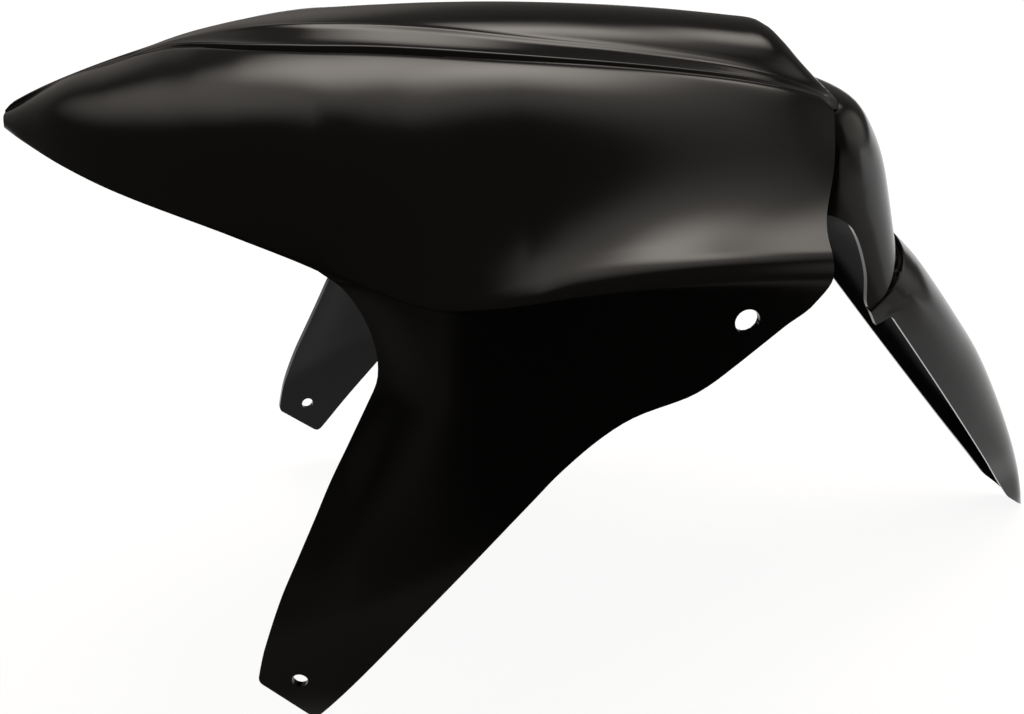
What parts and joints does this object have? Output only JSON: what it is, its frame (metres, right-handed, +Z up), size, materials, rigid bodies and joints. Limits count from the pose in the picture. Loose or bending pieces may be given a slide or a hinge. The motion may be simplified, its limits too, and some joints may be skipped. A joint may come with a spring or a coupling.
{
  "type": "motorcycle front mudguard",
  "caption": "Moulded front mudguard shell with a raised spine, side panels, fork legs with bolt holes and a tapered tail.",
  "frame": {"origin": "midway between the two lower fork holes", "axes": "+X forward to the nose, +Y to the rider's left, +Z up"},
  "size_m": [0.5428, 0.2585, 0.3042],
  "materials": {
    "shell": "high gloss black, as moulded"
  },
  "bodies": {
    "root": {"mudguard_shell": "shell"}
  },
  "joints": []
}
